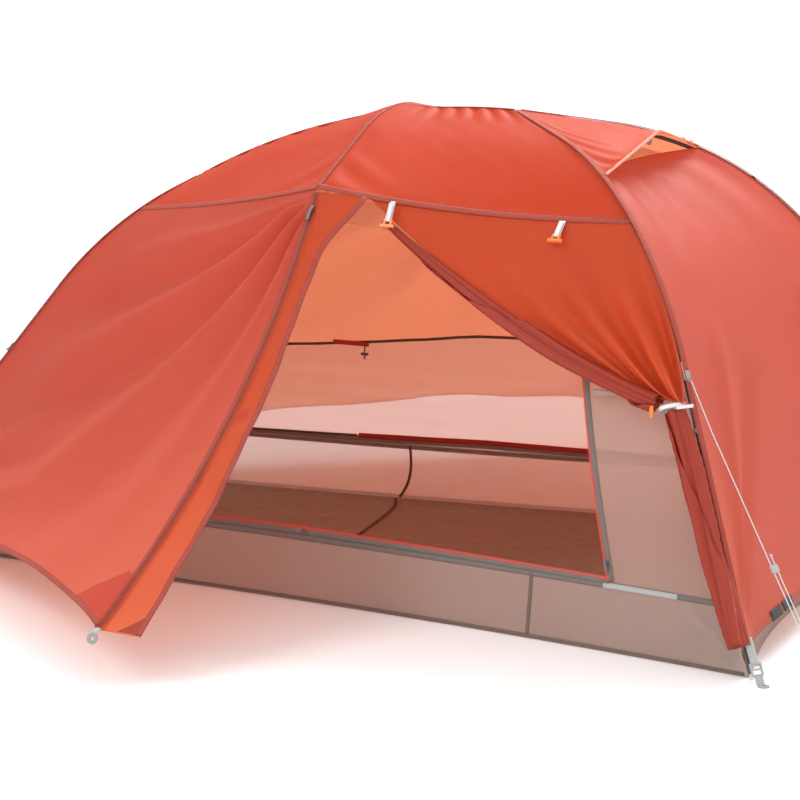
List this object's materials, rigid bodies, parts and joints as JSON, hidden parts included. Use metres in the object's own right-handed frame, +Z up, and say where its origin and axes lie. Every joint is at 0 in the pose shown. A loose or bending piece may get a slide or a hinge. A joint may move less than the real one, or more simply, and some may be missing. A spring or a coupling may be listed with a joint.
{
  "type": "dome tent",
  "caption": "Two-person, two-door dome tent on hubbed poles: mesh canopy with tub floor under a full rain fly, one fly door tied back, vent hood propped open, front guyline set.",
  "frame": {"origin": "middle of the tent's footprint, on the ground", "axes": "+Z up; +X towards the wide head end with the vent hood; -Y towards the front door that is half tied back"},
  "size_m": [2.5169, 2.6532, 1.0318],
  "materials": {
    "pole_tube": "anodised dark grey, satin",
    "hub_plastic": "moulded nylon, matt",
    "tube_end": "bare turned aluminium, satin",
    "floor_cloth": "coated nylon, brown, slightly shiny",
    "tub_cloth": "coated nylon, warm grey, slightly shiny",
    "canopy_mesh": "fine see-through mesh, sand colour",
    "canopy_cloth": "thin uncoated ripstop nylon, sand grey",
    "zip_tape": "woven zip tape with a coil, grey",
    "slider_metal": "cast zinc with a cord pull",
    "clip_plastic": "moulded acetal, grey",
    "red_webbing": "woven label, dark red",
    "olive_plastic": "moulded cord lock, dark olive",
    "fly_cloth": "thin coated ripstop nylon, orange red, satin sheen",
    "white_webbing": "woven tape, white",
    "orange_plastic": "moulded, orange",
    "grey_webbing": "woven webbing, grey",
    "lock_plastic": "moulded ladder lock, grey",
    "eyelet_metal": "pressed metal, satin",
    "black_webbing": "woven webbing, black",
    "guy_cord": "braided cord, pale grey with a glint thread"
  },
  "bodies": {
    "tent": {"ridge_pole": "pole_tube", "brow_pole": "pole_tube", "front_right_leg": "pole_tube", "back_right_leg": "pole_tube", "front_left_leg": "pole_tube", "back_left_leg": "pole_tube", "right_hub": "hub_plastic", "left_hub": "hub_plastic", "brow_swivel": "hub_plastic", "pole_ferrules": "tube_end", "pole_tips": "tube_end", "tub_floor": "floor_cloth", "tub_front": "tub_cloth", "tub_back": "tub_cloth", "tub_right": "tub_cloth", "tub_left": "tub_cloth", "inner_roof_front": "canopy_mesh", "inner_roof_back": "canopy_mesh", "inner_front_right": "canopy_cloth", "inner_front_left": "canopy_cloth", "inner_front_header": "canopy_mesh", "inner_back": "canopy_mesh", "inner_end_right": "canopy_cloth", "inner_end_left": "canopy_cloth", "rolled_inner_door": "canopy_mesh", "inner_zips": "zip_tape", "canopy_clips": "clip_plastic", "gear_loop": "red_webbing", "fly_roof_front_right": "fly_cloth", "fly_roof_front_left": "fly_cloth", "fly_roof_back_right": "fly_cloth", "fly_roof_back_left": "fly_cloth", "fly_end_right": "fly_cloth", "fly_end_left": "fly_cloth", "door_front_left": "fly_cloth", "door_front_right": "fly_cloth", "door_front_right_roll": "fly_cloth", "door_front_right_tail": "fly_cloth", "door_back_left": "fly_cloth", "door_back_right": "fly_cloth", "storm_flap": "fly_cloth", "vent_hood": "fly_cloth", "door_loops": "white_webbing", "tie_loop": "white_webbing", "tie_toggle": "orange_plastic", "corner_straps": "grey_webbing", "ladder_locks": "lock_plastic", "stake_loops": "eyelet_metal", "hem_adjusters": "black_webbing", "guy_tabs": "grey_webbing", "guyline": "guy_cord", "guyline_loop": "eyelet_metal"},
    "front_zip_pull": {"front_zip_slider": "slider_metal"},
    "back_zip_pull": {"back_zip_slider": "slider_metal"},
    "fly_zip_pull": {"fly_zip_slider": "slider_metal"},
    "strut": {"vent_strut": "white_webbing"},
    "left_toggle": {"left_door_toggle": "orange_plastic"},
    "right_toggle": {"right_door_toggle": "orange_plastic"},
    "cord_lock": {"gear_toggle": "olive_plastic"},
    "guy_slider": {"guyline_slider": "lock_plastic"}
  },
  "joints": [
    {"name": "front_zip_slide", "type": "slide", "parent": "tent", "child": "front_zip_pull", "axis": [-0.2653, 0.2903, 0.9194], "range_m": [0, 0.3]},
    {"name": "back_zip_slide", "type": "slide", "parent": "tent", "child": "back_zip_pull", "axis": [-0.2653, -0.2903, 0.9194], "range_m": [0, 0.3]},
    {"name": "fly_zip_travel", "type": "hinge", "parent": "tent", "child": "fly_zip_pull", "pos_m": [-1.76713, -2.55845, 2.5674], "axis": [-0.8371, 0.3806, -0.3931], "range_deg": [0, 18]},
    {"name": "vent_strut_fold", "type": "hinge", "parent": "tent", "child": "strut", "pos_m": [0.5538, 0, 0.94109], "axis": [0, 1, 0], "range_deg": [0, 60]},
    {"name": "left_toggle_swing", "type": "hinge", "parent": "tent", "child": "left_toggle", "pos_m": [0.17881, -0.4243, 0.83542], "axis": [-1, 0, 0], "range_deg": [0, 90]},
    {"name": "right_toggle_swing", "type": "hinge", "parent": "tent", "child": "right_toggle", "pos_m": [0.56503, -0.41215, 0.82599], "axis": [-1, 0, 0], "range_deg": [0, 70]},
    {"name": "cord_lock_swing", "type": "hinge", "parent": "tent", "child": "cord_lock", "pos_m": [-0.26062, 0.35063, 0.39947], "axis": [0, 1, 0], "range_deg": [-40, 40]},
    {"name": "guy_slider_travel", "type": "slide", "parent": "tent", "child": "guy_slider", "axis": [0.5559, -0.3625, -0.7481], "range_m": [-0.015, 0.25]}
  ]
}
